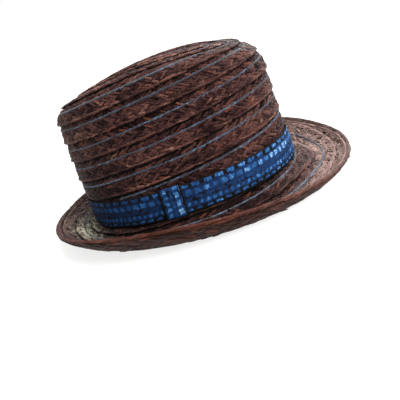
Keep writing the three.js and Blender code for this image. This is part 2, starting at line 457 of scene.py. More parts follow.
def faceOutward(piece, merge=None):
    shape = bmesh.new()
    shape.from_mesh(piece.data)
    if merge:
        bmesh.ops.remove_doubles(shape, verts=shape.verts, dist=merge)
    bmesh.ops.recalc_face_normals(shape, faces=shape.faces)
    shape.to_mesh(piece.data)
    shape.free()
    return piece


def ringSolid(name, rings, material, mapOf, flipped=False, openAt=None):
    # rings of points closed round the hat and back to the first one; openAt leaves out one belt of faces
    around, count = len(rings[0]), len(rings)
    points = raised(np.concatenate(rings), "shell")
    i, j = np.meshgrid(np.arange(around), [k for k in range(count) if k != openAt])
    i, j = i.ravel(), j.ravel()
    ahead, above = (i + 1) % around, (j + 1) % count
    corners = np.stack([j * around + i, j * around + ahead, above * around + ahead, above * around + i], -1)
    columnsAt = np.stack([i, i + 1, i + 1, i], -1)
    ringsAt = np.stack([j, j, above, above], -1)
    if flipped:
        corners, columnsAt, ringsAt = corners[:, ::-1], columnsAt[:, ::-1], ringsAt[:, ::-1]
    piece = makePiece(name, points, corners.tolist(), material)
    uv = np.stack(mapOf(columnsAt / around, ringsAt), -1)
    piece.data.uv_layers.new(name="ownMap").data.foreach_set("uv", uv.reshape(-1))
    return faceOutward(piece, merge=0.00002)


# dyed raffia: split palm leaf, matt with a dull glint on each rib, fine lengthwise fibres

raffia = {
    "tones": [(0.0, "#060404"), (0.25, "#150c0c"), (0.5, "#33201f"), (0.75, "#53372f"), (1.0, "#7e5c52")],
    # paler tones for the brim's painted sheen, partly dye paled by daylight and partly bleaching
    "fadedAndSheenTones": [(0.0, "#2a211f"), (0.5, "#886f68"), (1.0, "#a08a82")],
    "bleachAndSheen": [(0.0, "#15140f"), (0.5, "#9c9884"), (1.0, "#bdb9a4")],
    "warm": "#5e3528",
    "glint": "#a8786a",
    "fibres": (1.6, 7.0, 40.0),  # waves along a strand, across it and from one strand to the next
    "crumples": 620.0,  # to the metre, so about 1.5 mm across
    "clouds": 60.0,  # about 17 mm across
    "shares": (0.55, 0.6, 0.4),  # how much fibres, crumples and clouds of dye change the tone
}


def raffiaMaterial():
    material, tree, shader = newMaterial("dyed_raffia_strand")
    keys = ("tone", "warm", "fadeAndSheen", "pale", "fibre")
    read = {key: addNode(tree, "ShaderNodeAttribute", attribute_name=key) for key in keys}
    # x runs along a strand, y across it, z is the strand's own number
    fibre = read["fibre"].outputs["Vector"]
    along = inTurn(tree, fibre, ("MULTIPLY", raffia["fibres"]), kind="ShaderNodeVectorMath")
    sockets = {"Vector": along, "Scale": 1.0, "Detail": 3.0, "Roughness": 0.6}
    fine = addNode(tree, "ShaderNodeTexNoise", sockets)
    place = addNode(tree, "ShaderNodeTexCoord").outputs["Object"]
    crumple, cloud = (
        addNode(tree, "ShaderNodeTexNoise", {"Vector": place, "Scale": raffia[key], "Detail": 2.0})
        for key in ("crumples", "clouds")
    )
    shade = read["tone"].outputs["Fac"]
    for noise, share in zip((fine, crumple, cloud), raffia["shares"]):
        part = inTurn(tree, noise, ("SUBTRACT", 0.5), ("MULTIPLY", share))
        shade = addNode(tree, "ShaderNodeMath", (shade, part), operation="ADD", use_clamp=True)
    colour, fadedAndSheenTones, bleachAndSheen = (
        addNode(tree, "ShaderNodeValToRGB", (shade,), raffia[key]) for key in ("tones", "fadedAndSheenTones", "bleachAndSheen")
    )
    # warmer strands, then the paler brim, partly dye paled by daylight and partly painted sheen, and the pale
    # patch of painted sheen, partly bleaching: the strands keep their shading over the paler tones
    for key, other in (("warm", linear(raffia["warm"])), ("fadeAndSheen", fadedAndSheenTones), ("pale", bleachAndSheen)):
        sockets = {0: read[key].outputs["Fac"], 6: colour, 7: other}
        colour = addNode(tree, "ShaderNodeMix", sockets, data_type="RGBA").outputs[2]
    relief = inTurn(tree, crumple, ("MULTIPLY", 1.4), ("ADD", fine))
    dress(tree, shader, colour, relief, 0.9, 0.0006)
    setPlain(shader, {
        "Roughness": 0.52,
        "IOR": 1.5,
        "Specular IOR Level": 0.12,  # bundles of fibre scatter most of the glint
        "Specular Tint": linear(raffia["glint"]),
    })
    return material


# the mauve-brown strands that give the hat its colour and its crumpled grain
strandRaffia = raffiaMaterial()

ground = {
    "tones": [(0.0, "#020101"), (0.3, "#0d0908")],
    "lanes": 5.0,
    "lean": 0.8,
    "grain": 900.0,  # to the metre, so about 1 mm
}


def groundMaterial():
    material, tree, shader = newMaterial("braid_back_painted_shade")
    coords = addNode(tree, "ShaderNodeTexCoord")
    uv = addNode(tree, "ShaderNodeSeparateXYZ", (coords.outputs["UV"],))
    # u counts strands round the hat, v counts rows; the lanes of strands in a row lean alternately
    lane = inTurn(tree, uv.outputs["Y"], ("MULTIPLY", ground["lanes"]), ("PINGPONG", 1.0))
    run = inTurn(tree, lane, ("MULTIPLY", ground["lean"]), ("ADD", uv.outputs["X"]))
    arch = inTurn(tree, run, ("FRACT", None), ("PINGPONG", 0.5))
    sockets = {"Vector": coords.outputs["Object"], "Scale": ground["grain"], "Detail": 2.0}
    relief = inTurn(tree, arch, ("MULTIPLY", addNode(tree, "ShaderNodeTexNoise", sockets)))
    colour = addNode(tree, "ShaderNodeValToRGB", (relief,), ground["tones"]).outputs["Color"]
    dress(tree, shader, colour, relief, 0.8, 0.001)
    setPlain(shader, {"Roughness": 0.75, "Specular IOR Level": 0.1})
    return material


# painted shade: the braid's back is drawn near-black, standing in for the shade between the strands; inside
# the hat it shows as a dull plait
braidBackShade = groundMaterial()

shell = {
    "around": 264,
    "step": 0.9,
    "innerStep": 4.5,
    "foot": 0.4,
    "inset": 0.55,  # mm under the strands
    "thick": 2.5,
    "deepest": (-1.7, -1.9),  # mm under the form, on the crown and on the brim
    "underBand": (1.5, -0.3),  # mm past the band's top, mm under the form up to there
    "tuck": 0.0022,  # metres that the foot goes down into the brim
    "crease": (3.4, 1.1),  # mm from the rim to the groove of its doubled edge, mm deep
    "shares": (0.004, 76, 30),  # of the brim's width: the first ring, and rings on the top and underneath
    "crownMap": (114, 19.4),  # strands round the hat, mm of a row
    "brimMap": (130, 3),  # strands round the hat, rows
}
shellAngles = np.arange(shell["around"]) * fullTurn / shell["around"]


def proudRing(angle, course, lift):
    place, _, _, outward = hatFrame(angle, course)
    return place + outward * np.broadcast_to(lift, angle.shape)[:, None] / 1000


def crownShell():
    outer = np.append(np.arange(shell["foot"], crownCourse, shell["step"]), crownCourse)
    inner = np.append(np.arange(shell["foot"], crownCourse, shell["innerStep"]), crownCourse)[::-1]
    past, under = shell["underBand"]
    rings = []
    for course in outer:
        lift = np.maximum(liftOn(shellAngles, course) - shell["inset"], shell["deepest"][0])
        if course < spiral["bandTop"] + past:
            lift = np.minimum(lift, under)
        rings.append(proudRing(shellAngles, np.full(shellAngles.shape, course), lift))
    for course in inner:
        lift = np.clip(liftOn(shellAngles, course), -1, 1) * 0.5 - shell["thick"]
        rings.append(proudRing(shellAngles, np.full(shellAngles.shape, course), lift))
    # the foot is tucked into the brim
    for ring in (rings[0], rings[-1]):
        ring[:, 2] -= shell["tuck"]
    courses = np.concatenate([outer, inner])
    strands, row = shell["crownMap"]

    def mapOf(share, ring):
        return share * strands, courses[ring] / row - share

    return ringSolid("crown_ground", rings, braidBackShade, mapOf, openAt=len(outer) - 1)


def brimShell():
    full = across(brimArc, shellAngles)
    first, above, below = shell["shares"]
    outer, inner = np.linspace(first, 1, above), np.linspace(1, first, below)
    groove, deep = shell["crease"]
    rings = []
    for share in outer:
        course = -share * full
        crease = np.exp(-((1 - share) * full - groove) ** 2 / 1.0)
        lift = liftOn(shellAngles, course) - shell["inset"] - deep * crease
        ring = proudRing(shellAngles, course, np.maximum(lift, shell["deepest"][1]))
        rings.append(raised(ring, "brimFace"))
    for share in inner:
        thick = np.interp((1 - share) * full, [0, 2, 6], [1.2, 2.2, 2.6])
        rings.append(proudRing(shellAngles, -share * full, -thick))
    shares = np.concatenate([outer, inner])
    strands, rows = shell["brimMap"]

    def mapOf(share, ring):
        return share * strands, shares[ring] * rows - share

    return ringSolid("brim_ground", rings, braidBackShade, mapOf, flipped=True)


pieces = {"crown_ground": crownShell(), "brim_ground": brimShell()}
print("shells", [len(p.data.polygons) for p in pieces.values()], "faces")

# strands are laid by one node tree: each point carries its direction, size and tone

carried = {"vectors": ("along", "outward", "size"), "numbers": ("tone", "warm", "fadeAndSheen", "pale", "number")}


def layingTree():
    tree = bpy.data.node_groups.new("laidStrands", "GeometryNodeTree")
    face = tree.interface
    wanted = [
        ("Geometry", "NodeSocketGeometry", None),
        ("Sections", "NodeSocketInt", 4),
        ("Sides", "NodeSocketInt", 5),
        ("Bend", "NodeSocketFloat", 0.45),
        ("Taper", "NodeSocketFloat", 0.5),
        ("Wobble", "NodeSocketFloat", 0.0008),
        ("Wobble Scale", "NodeSocketFloat", 380.0),
        ("Material", "NodeSocketMaterial", None),
    ]
    for name, kind, default in wanted:
        socket = face.new_socket(name, in_out="INPUT", socket_type=kind)
        if default is not None:
            socket.default_value = default
    face.new_socket("Geometry", in_out="OUTPUT", socket_type="NodeSocketGeometry")
    given = addNode(tree, "NodeGroupInput").outputs
    # one strand, a unit long and wide, bowed so that its ends dive
    line = addNode(tree, "GeometryNodeCurvePrimitiveLine", {"Start": (-0.5, 0, 0), "End": (0.5, 0, 0)})
    line = addNode(tree, "GeometryNodeResampleCurve", {"Curve": line, "Count": given["Sections"]})
    here = addNode(tree, "GeometryNodeInputPosition")
    x = addNode(tree, "ShaderNodeSeparateXYZ", (here,)).outputs["X"]
    far = inTurn(tree, x, ("MULTIPLY", 2.0), ("ABSOLUTE", None))
    dive = inTurn(tree, far, ("POWER", 2.2), ("MULTIPLY", given["Bend"]), ("MULTIPLY", -1.0))
    dip = addNode(tree, "ShaderNodeCombineXYZ", {"Z": dive})
    line = addNode(tree, "GeometryNodeSetPosition", {"Geometry": line, "Offset": dip})
    thin = inTurn(tree, far, ("POWER", 3.0), ("MULTIPLY", given["Taper"]))
    radius = inTurn(tree, 1.0, ("SUBTRACT", thin))
    line = addNode(tree, "GeometryNodeSetCurveRadius", {"Curve": line, "Radius": radius})
    ring = addNode(tree, "GeometryNodeCurvePrimitiveCircle", {"Resolution": given["Sides"], "Radius": 0.5})
    sockets = {"Curve": line, "Profile Curve": ring, "Fill Caps": True}
    strand = addNode(tree, "GeometryNodeCurveToMesh", sockets)
    own = addNode(tree, "GeometryNodeInputPosition")
    own = inTurn(tree, own, ("ADD", (0.5, 0.5, 0.5)), kind="ShaderNodeVectorMath")
    onPoints = {"data_type": "FLOAT_VECTOR", "domain": "POINT"}
    sockets = {"Geometry": strand, "Name": "fibre", "Value": own}
    strand = addNode(tree, "GeometryNodeStoreNamedAttribute", sockets, **onPoints)
    along, outward, size = (
        addNode(tree, "GeometryNodeInputNamedAttribute", {"Name": key}, data_type="FLOAT_VECTOR")
        for key in carried["vectors"]
    )
    axes = {"primary_axis": "Z", "secondary_axis": "X"}
    turning = addNode(tree, "FunctionNodeAxesToRotation", {0: outward, 1: along}, **axes)
    sockets = {"Points": given["Geometry"], "Instance": strand, "Rotation": turning, "Scale": size}
    laid = addNode(tree, "GeometryNodeInstanceOnPoints", sockets)
    laid = addNode(tree, "GeometryNodeRealizeInstances", {"Geometry": laid})
    # each strand's number goes into the third part of its fibre coordinate
    fibre = addNode(tree, "GeometryNodeInputNamedAttribute", {"Name": "fibre"}, data_type="FLOAT_VECTOR")
    number = addNode(tree, "GeometryNodeInputNamedAttribute", {"Name": "number"}, data_type="FLOAT")
    split = addNode(tree, "ShaderNodeSeparateXYZ", (fibre,))
    numbered = addNode(tree, "ShaderNodeCombineXYZ", (split.outputs["X"], split.outputs["Y"], number))
    sockets = {"Geometry": laid, "Name": "fibre", "Value": numbered}
    laid = addNode(tree, "GeometryNodeStoreNamedAttribute", sockets, **onPoints)
    # a slow wobble, so that no two strands are alike
    here = addNode(tree, "GeometryNodeInputPosition")
    sockets = {"Vector": here, "Scale": given["Wobble Scale"], "Detail": 1.0}
    noise = addNode(tree, "ShaderNodeTexNoise", sockets)
    shift = inTurn(tree, noise.outputs["Color"], ("SUBTRACT", (0.5, 0.5, 0.5)), kind="ShaderNodeVectorMath")
    shift = addNode(tree, "ShaderNodeVectorMath", {0: shift, "Scale": given["Wobble"]}, operation="SCALE")
    laid = addNode(tree, "GeometryNodeSetPosition", {"Geometry": laid, "Offset": shift})
    for name in (*carried["vectors"], "number"):
        laid = addNode(tree, "GeometryNodeRemoveAttribute", {"Geometry": laid, "Name": name})
    laid = addNode(tree, "GeometryNodeSetShadeSmooth", {"Geometry": laid})
    laid = addNode(tree, "GeometryNodeSetMaterial", {"Geometry": laid, "Material": given["Material"]})
    addNode(tree, "NodeGroupOutput", (laid,))
    return tree


laying = layingTree()
socketOf = {item.name: item.identifier for item in laying.interface.items_tree if item.in_out == "INPUT"}


def layPieces(name, points, material, **values):
    mesh = bpy.data.meshes.new(name + "_points")
    mesh.from_pydata([tuple(p) for p in points["place"]], [], [])
    for key in carried["vectors"]:
        mesh.attributes.new(key, "FLOAT_VECTOR", "POINT").data.foreach_set("vector", points[key].reshape(-1))
    for key in carried["numbers"]:
        mesh.attributes.new(key, "FLOAT", "POINT").data.foreach_set("value", points[key])
    seeds = bpy.data.objects.new(name + "_points", mesh)
    scene.collection.objects.link(seeds)
    modifier = seeds.modifiers.new("laying", "NODES")
    modifier.node_group = laying
    modifier[socketOf["Material"]] = material
    for key, value in values.items():
        modifier[socketOf[key]] = value
    evaluated = seeds.evaluated_get(bpy.context.evaluated_depsgraph_get())
    laid = bpy.data.meshes.new_from_object(evaluated)
    laid.name = name
    piece = bpy.data.objects.new(name, laid)
    scene.collection.objects.link(piece)
    bpy.data.objects.remove(seeds)
    bpy.data.meshes.remove(mesh)
    where = np.empty(len(laid.vertices) * 3, np.float32)
    laid.vertices.foreach_get("co", where)
    laid.vertices.foreach_set("co", raised(where.reshape(-1, 3), "all").reshape(-1))
    laid.update()
    print(name, len(points["place"]), "laid,", len(laid.polygons), "faces")
    return piece


braid = {
    "lanes": 14,
    "edgeLane": 0.75,  # mm up from a row's lower edge
    "firstLane": 2.5,
    "laneStep": 2.5,  # mm from lane to lane up the row
    "jitter": 0.12,  # share of a step
    "gaps": 0.07,  # share of strands left out
    "clear": (0.5, 3.2),  # mm from the middle of the tip, and from the rim, without strands
    "narrowest": 2.0,  # mm of row that still takes a strand
    "roll": 12,  # degrees
    "scale": (0.15, 0.65, 1.4),
    "tone": (0.44, 0.14),
    "toneRange": (0.10, 0.74),
    "edgeTone": 0.10,
    "drift": 0.09,
    "brimShade": (0.10, 0.14),  # darker on the brim, and again on its near side, there as painted shade
    "lowShade": (0.11, 90, 0.8),  # painted shade: darker low on the back of the crown, fading out 90 mm up
    "paleSheenTone": 0.15,
    "warm": (0.05, 0.2, 0.6),  # share of warmer strands, and how warm they are
    "lapShade": (0.26, 4.5),  # painted shade under the lap above: how much darker, and how many mm under the lap it reaches
    "covered": 1.9,  # mm of a row that its lap hides
    "deepest": -1.9,  # mm under the form; below that a strand would come through to the inside
    "nearBand": (2.0, -0.6, 2.5),  # mm past the band's top, the lift up to there, mm tucked behind each hem
    "calm": (8, 0.3),  # mm past the band's top, and how much the strands there tip and roll
    # size, step from strand to strand and drift off the lane in mm; slant in degrees to the row;
    # spreads of slant, of lift and of tip
    "strand": {"size": (6.6, 2.5, 1.35), "step": 3.4, "drift": 0.4, "slant": 27.0, "spread": (6, 0.15, 2.2)},
    "selvage": {"size": (10.0, 1.9, 1.5), "step": 3.8, "drift": 0.12, "slant": 3, "spread": (1.6, 0.06, 0.6)},
}


def turned(frameHere, degrees, tip, roll):
    # directions of a strand that lies at an angle to the row, tipped and rolled a little
    _, along, up, outward = frameHere
    a = np.radians(degrees)[..., None]
    direction = along * np.cos(a) + up * np.sin(a)
    sideways = np.cross(outward, direction)
    t, r = np.radians(tip)[..., None], np.radians(roll)[..., None]
    lifted = outward * np.cos(r) + sideways * np.sin(r)
    direction = normalised(direction * np.cos(t) + outward * np.sin(t))
    return direction, normalised(lifted - direction * (lifted * direction).sum(-1, keepdims=True))


def pathLength(low, high, middle):
    # running length in mm along the spiral, at a share of the row's width
    turns = np.linspace(low, high, int((high - low) * 360) + 2)
    edge, top = rowEdge(turns), rowEdge(turns + 1)
    place = onHat(turns * fullTurn, edge + (top - edge) * middle) * 1000
    run = np.concatenate([[0], np.cumsum(np.linalg.norm(np.diff(place, axis=0), axis=1))])
    return turns, run


def slowNoise(x, y, seed, fastest=0.06):
    # smooth wandering between about -1 and 1, for shades that drift along the rows
    r = np.random.default_rng(seed)
    total = 0
    for _ in range(6):
        kx, ky, phase = r.uniform(0.01, fastest), r.uniform(0.02, 0.12), r.uniform(0, fullTurn)
        total = total + np.sin(kx * x + ky * y + phase)
    return total / 3.5


def joined(found):
    return {key: np.concatenate([f[key] for f in found]) for key in found[0]}


def kept(points, chosen):
    return {key: value[chosen] for key, value in points.items()}


# painted sheen, partly dye paled by daylight: where the top of the brim, a patch at its back and the back of
# the tip are drawn paler
sheenAndFade = {
    "from": 21,  # mm out over the brim
    "over": 8,
    "toward": 0.4,  # radians round from the front
    "front": 0.88,
    "back": 0.2,
    # patches: degrees round and their spread, course and its spread, strength
    "brimBackSheen": (200, 34, -29, 17, 0.2),
    "tipBackSheen": (165, 45, 128, 10, 0.35),
    "bleachAndSheen": (203, 17, -15, 11, 1.5),
    "tipFrom": 105,
    "most": 0.9,
}


def patchOn(name, degrees, course):
    middle, wide, courseHere, deep, strength = sheenAndFade[name]
    return strength * np.exp(-((degrees - middle) / wide) ** 2 - ((course - courseHere) / deep) ** 2)


def sheenAndFadeAt(angle, course):
    # how pale the brim is drawn: partly dye paled by daylight, partly painted sheen where its top faces the
    # light; a pale patch at its back is painted sheen, partly bleaching of the dye; the back of the tip gets
    # painted sheen too
    degrees = np.degrees(angle) % 360
    onBrim = course < 0
    outside = np.clip((-course - sheenAndFade["from"]) / sheenAndFade["over"], 0, 1)
    facingSheen = np.clip(np.cos(angle - sheenAndFade["toward"]), 0, 1) + sheenAndFade["back"] * np.clip(-np.cos(angle), 0, 1)
    drift = 0.10 * slowNoise(degrees * 1.5, course, 8)
    fadeAndSheen = np.where(onBrim, 0.01 + sheenAndFade["front"] * outside * facingSheen + drift, 0.0)
    fadeAndSheen = fadeAndSheen + np.where(onBrim, patchOn("brimBackSheen", degrees, course), 0)
    fadeAndSheen = fadeAndSheen + np.where(course > sheenAndFade["tipFrom"], patchOn("tipBackSheen", degrees, course), 0)
    # the pale patch at the back of the brim: painted sheen, partly bleaching of the dye
    pale = np.where(onBrim, patchOn("bleachAndSheen", degrees, course), 0.0)
    pale = pale * luck.choice([0.1, 0.8, 1.15], len(course), p=[0.25, 0.35, 0.4])
    return fadeAndSheen.clip(0, sheenAndFade["most"]), pale.clip(0, sheenAndFade["most"])


def varied(count, spread, least, most):
    # length, width and height of each strand against the usual one
    return luck.normal(1, spread, (count, 3)).clip(least, most)


def strandsAt(place, along, outward, size, scale, tone, warm, fadeAndSheen, pale):
    count = len(place)
    given = {"tone": tone, "warm": warm, "fadeAndSheen": fadeAndSheen, "pale": pale}
    row = {key: np.broadcast_to(np.asarray(value, float), count) for key, value in given.items()}
    row.update(place=place, along=along, outward=outward, size=np.array(size) / 1000 * scale)
    row["number"] = luck.uniform(size=count)
    return row


def braidPoints(low, high):
    found = []
    turns, run = pathLength(low, high, 0.5)
    pastBand, bandLift, hem = braid["nearBand"]
    calmPast, calmShare = braid["calm"]
    lapShade, lapReach = braid["lapShade"]
    tipGap, rimGap = braid["clear"]
    onBrim, nearSideShade = braid["brimShade"]
    lowDown, fadesAt, reach = braid["lowShade"]
    warmShare, *warmRange = braid["warm"]
    for lane in range(-1, braid["lanes"]):
        edging = lane < 0  # the long strand along the lap
        kind = braid["selvage" if edging else "strand"]
        slantSpread, liftSpread, tipSpread = kind["spread"]
        at = np.arange(luck.uniform(0, kind["step"]), run[-1], kind["step"])
        count = len(at)
        at = at + luck.normal(0, kind["step"] * braid["jitter"], count)
        turn = np.interp(at, run, turns)
        angle = turn * fullTurn
        edge, top = rowEdge(turn), rowEdge(turn + 1)
        width = top - edge
        fromEdge = braid["edgeLane"] if edging else braid["firstLane"] + braid["laneStep"] * lane
        offset = fromEdge + luck.normal(0, kind["drift"], count)
        course = edge + offset
        press = pressed(angle, course)
        fromRim = course + across(brimArc, angle)
        # the innermost row has no lap over it
        covered = np.where(top < crownCourse - tipGap, braid["covered"], 0.0)
        keep = (offset < width - covered) & (width > braid["narrowest"]) & (fromRim > rimGap)
        lift = rowLift(offset, width - offset) * press
        keep &= (course < 0) | (lift > braid["deepest"])
        if edging:
            slant = luck.normal(kind["slant"], slantSpread, count)
        else:
            lean = (1 if lane % 2 else -1) * kind["slant"] * (1 if lane else 0.5)
            slant = lean + luck.normal(0, slantSpread, count)
            keep &= luck.uniform(size=count) > braid["gaps"] * press
        hidden = (course > hem) & (course < spiral["bandTop"] - hem)
        keep &= ~hidden & (course < crownCourse - tipGap)
        nearBand = (course >= 0) & (course < spiral["bandTop"] + pastBand)
        lift = np.where(nearBand, np.minimum(lift, bandLift), lift)
        lift = lift + luck.normal(0, liftSpread, count)
        frameHere = hatFrame(angle, course)
        calm = np.where((course > 0) & (course < spiral["bandTop"] + calmPast), calmShare, 1.0)
        tip = luck.normal(0, tipSpread, count) * calm
        direction, outward = turned(frameHere, slant, tip, luck.normal(0, braid["roll"], count) * calm)
        scale = varied(count, *braid["scale"])
        tone = luck.normal(*braid["tone"], count).clip(*braid["toneRange"])
        tone = tone + braid["drift"] * slowNoise(at, course, 5) + (braid["edgeTone"] if edging else 0.0)
        # painted shade under the overhanging lap above
        tone = tone - lapShade * np.clip(1 - (width - offset) / lapReach, 0, 1) * press
        # painted shade on the near side of the brim
        tone = tone - np.where(course < 0, onBrim + nearSideShade * np.clip(-np.sin(angle), 0, 1), 0.0)
        # painted shade low on the back of the crown
        backward = np.clip(reach - np.cos(angle), 0, 1)
        tone = tone - lowDown * np.clip(1 - course / fadesAt, 0, 1) * backward * (course > 0)
        warm = np.where(luck.uniform(size=count) < warmShare, luck.uniform(*warmRange, count), 0.0) * calm
        fadeAndSheen, pale = sheenAndFadeAt(angle, course)
        # strands in the pale patch are drawn lighter: painted sheen, partly bleaching of the dye
        tone = (tone + braid["paleSheenTone"] * pale).clip(0.03, 0.97)
        place = raised(frameHere[0] + frameHere[3] * (lift / 1000)[:, None], "braid")
        row = strandsAt(place, direction, outward, kind["size"], scale, tone, warm, fadeAndSheen, pale)
        found.append(kept(row, keep))
    return joined(found)


for name, low, high in (
    ("crown_braid_lower", 1.2, 3.9),
    ("crown_braid_middle", 3.9, 6.4),
    ("crown_braid_upper", 6.4, 8.4),
    ("crown_braid_tip", 8.4, 10.3),
    ("brim_braid_inner", -1.0, 1.2),
    ("brim_braid_outer", -2.6, -1.0),
):
    pieces[name] = layPieces(name, braidPoints(low, high), strandRaffia)

# underside of the brim and the doubled rim

under = {
    "lanes": 19,
    "firstLane": 3.0,  # mm in from the rim
    "laneStep": 3.1,
    "strandStep": 4.8,
    "strand": (10.5, 3.5, 1.1),
    "slant": 20.0,
    "below": ([0, 2, 6], [1.4, 2.35, 2.75]),  # mm in from the rim, mm under the form
    "scale": (0.13, 0.7, 1.35),
    # painted shade: the underside's strands are given a darker tone than those on top
    "tone": (0.24, 0.07),
    "warm": (0.2, 0.2, 0.7),
}


def rimRun():
    angle = np.linspace(0, fullTurn, 721)
    place = onHat(angle, -across(brimArc, angle)) * 1000
    return angle, np.concatenate([[0], np.cumsum(np.linalg.norm(np.diff(place, axis=0), axis=1))])


rimAngles, rimLength = rimRun()


def underPoints():
    found = []
    for lane in range(under["lanes"]):
        fromRim = under["firstLane"] + under["laneStep"] * lane
        at = np.arange(luck.uniform(0, under["strandStep"]), rimLength[-1], under["strandStep"])
        count = len(at)
        at = at + luck.normal(0, 0.5, count)
        angle = np.interp(at, rimLength, rimAngles)
        course = -across(brimArc, angle) + fromRim + luck.normal(0, 0.4, count)
        place, along, up, outward = hatFrame(angle, course)
        below = np.interp(fromRim, *under["below"])
        place = place - outward * ((below + luck.normal(0, 0.15, count)) / 1000)[:, None]
        lean = (1 if lane % 2 else -1) * under["slant"] * (1 if lane else 0.2)
        slant = lean + luck.normal(0, 7 if lane else 2, count)
        frameHere = (place, along, up, -outward)
        direction, lifted = turned(frameHere, slant, luck.normal(0, 2, count), luck.normal(0, 8, count))
        scale = varied(count, *under["scale"])
        tone = (luck.normal(*under["tone"], count) + 0.06 * slowNoise(at, course, 11)).clip(0.03, 0.95)
        warmShare, *warmRange = under["warm"]
        warm = np.where(luck.uniform(size=count) < warmShare, luck.uniform(*warmRange, count), 0.08)
        row = strandsAt(raised(place, "under"), direction, lifted, under["strand"], scale, tone, warm, 0, 0)
        found.append(kept(row, course < -1.0))
    return joined(found)


pieces["brim_braid_under"] = layPieces("brim_braid_under", underPoints(), strandRaffia)

rim = {
    "lanes": [  # mm in from the edge, mm proud, degrees turned over the edge, tone
        # the lanes turned further under the edge get darker tones, as painted shade
        (1.6, -0.2, 5.0, 0.40),
        (0.2, -0.45, 70.0, 0.36),
        (0.5, -1.2, 120.0, 0.32),
    ],
    "strand": (10.0, 2.2, 1.5),
    "scale": (0.1, 0.75, 1.3),
    "step": 4.2,
}


def rimPoints():
    found = []
    for fromRim, proud, over, toneHere in rim["lanes"]:
        at = np.arange(luck.uniform(0, rim["step"]), rimLength[-1], rim["step"])
        count = len(at)
        angle = np.interp(at, rimLength, rimAngles)
        course = -across(brimArc, angle) + fromRim
        place, along, up, outward = hatFrame(angle, course)
        place = place + outward * ((proud + luck.normal(0, 0.1, count)) / 1000)[:, None]
        o = math.radians(over)
        lean = outward * math.cos(o) - up * math.sin(o)
        upHere = up * math.cos(o) + outward * math.sin(o)
        slant, tip = luck.normal(3.5, 2.0, count), luck.normal(0, 0.8, count)
        direction, lifted = turned((place, along, upHere, lean), slant, tip, luck.normal(0, 8, count))
        fadeAndSheen, pale = sheenAndFadeAt(angle, course)
        scale = varied(count, *rim["scale"])
        tone = luck.normal(toneHere, 0.10, count).clip(0.05, 0.95)
        warm = luck.uniform(0.1, 0.5, count) * np.clip(0.1 - np.sin(angle), 0, 1)
        fadeAndSheen = fadeAndSheen * (0.8 if over < 20 else 0.3)  # the painted sheen, partly paling of the dye, is strongest on the top of the fold
        found.append(strandsAt(place, direction, lifted, rim["strand"], scale, tone, warm, fadeAndSheen, pale * 0.5))
    return joined(found)


pieces["brim_rim"] = layPieces("brim_rim", rimPoints(), strandRaffia, Wobble=0.0006)

# sewing thread: two-ply cotton, slate blue, lying in the groove it pulls into the braid

thread = {
    "strand": (3.3, 1.8, 1.3),
    "scale": (0.08, 0.8, 1.25),
    "step": 3.0,
    "proud": 0.65,
    "tones": [(0.0, "#04060d"), (0.45, "#22324c"), (1.0, "#687a90")],
}


def threadMaterial():
    material, tree, shader = newMaterial("two_ply_cotton_thread")
    tone = addNode(tree, "ShaderNodeAttribute", attribute_name="tone").outputs["Fac"]
    fibre = addNode(tree, "ShaderNodeAttribute", attribute_name="fibre").outputs["Vector"]
    split = addNode(tree, "ShaderNodeSeparateXYZ", (fibre,)).outputs
    # the two plies cross the thread on the slant, about twice in a stitch; each ply is drawn light on its
    # crown and dark where it meets the other, as painted highlight and painted shade
    slanted = inTurn(tree, split["X"], ("MULTIPLY", 2.0), ("ADD", split["Y"]))
    ply = inTurn(tree, slanted, ("PINGPONG", 0.5), ("MULTIPLY", 2.0))
    fuzz = addNode(tree, "ShaderNodeTexNoise", {"Vector": fibre, "Scale": 12.0, "Detail": 2.0})
    light = inTurn(tree, ply, ("POWER", 2.2), ("ADD", 0.05), ("MULTIPLY", tone), ("MULTIPLY", fuzz))
    light = addNode(tree, "ShaderNodeMath", (light, 2.0), operation="MULTIPLY", use_clamp=True)
    colour = addNode(tree, "ShaderNodeValToRGB", (light,), thread["tones"]).outputs["Color"]
    dress(tree, shader, colour, ply, 0.7, 0.0003)
    setPlain(shader, {"Roughness": 0.8, "Sheen Weight": 0.15})
    return material


# slate-blue lines that follow every row
cotton = threadMaterial()


def stitchPoints(low, high):
    turns, run = pathLength(low, high, 0.7)
    at = np.arange(1.0, run[-1], thread["step"])
    count = len(at)
    turn = np.interp(at, run, turns)
    edge, top = rowEdge(turn), rowEdge(turn + 1)
    drop = np.minimum(np.interp(turn + 1, spiral["drop"][:, 0], spiral["drop"][:, 1]), (top - edge) * 0.5)
    course = top - drop + luck.normal(0, 0.10, count) + 0.35 * slowNoise(at, 0 * at, 21)
    clear = (course < -1.0) | (course > spiral["bandTop"] + 1.0)
    keep = (top - edge > 5.0) & clear & (course < crownCourse - 2)
    angle = turn * fullTurn
    place, _, _, outward = hatFrame(angle, course)
    onward = 0.01  # radians
    climb = rowEdge(turn + 1 + onward / fullTurn) - rowEdge(turn + 1)
    path = normalised(hatFrame(angle + onward, course + climb)[0] - place)
    a = np.radians(luck.normal(9, 3, count))[:, None]
    direction = normalised(path * np.cos(a) + np.cross(outward, path) * np.sin(a))
    lift = rowLift(course - edge, top - course) * pressed(angle, course) + thread["proud"]
    place = place + outward * ((lift + luck.normal(0, 0.06, count)) / 1000)[:, None]
    tone = luck.normal(0.66, 0.32, count) + 0.3 * slowNoise(at, course, 31)
    # duller toward the tip, and out on the brim most at its back
    tone = tone - 0.38 * np.clip((course - 55) / 45, 0, 1)
    tone = tone - np.where(course < 0, 0.12 + 0.25 * np.clip(-np.cos(angle), 0, 1), 0.0)
    scale = varied(count, *thread["scale"])
    row = strandsAt(place, direction, outward, thread["strand"], scale, tone.clip(0.15, 1.2), 0, 0, 0)
    return kept(row, keep)


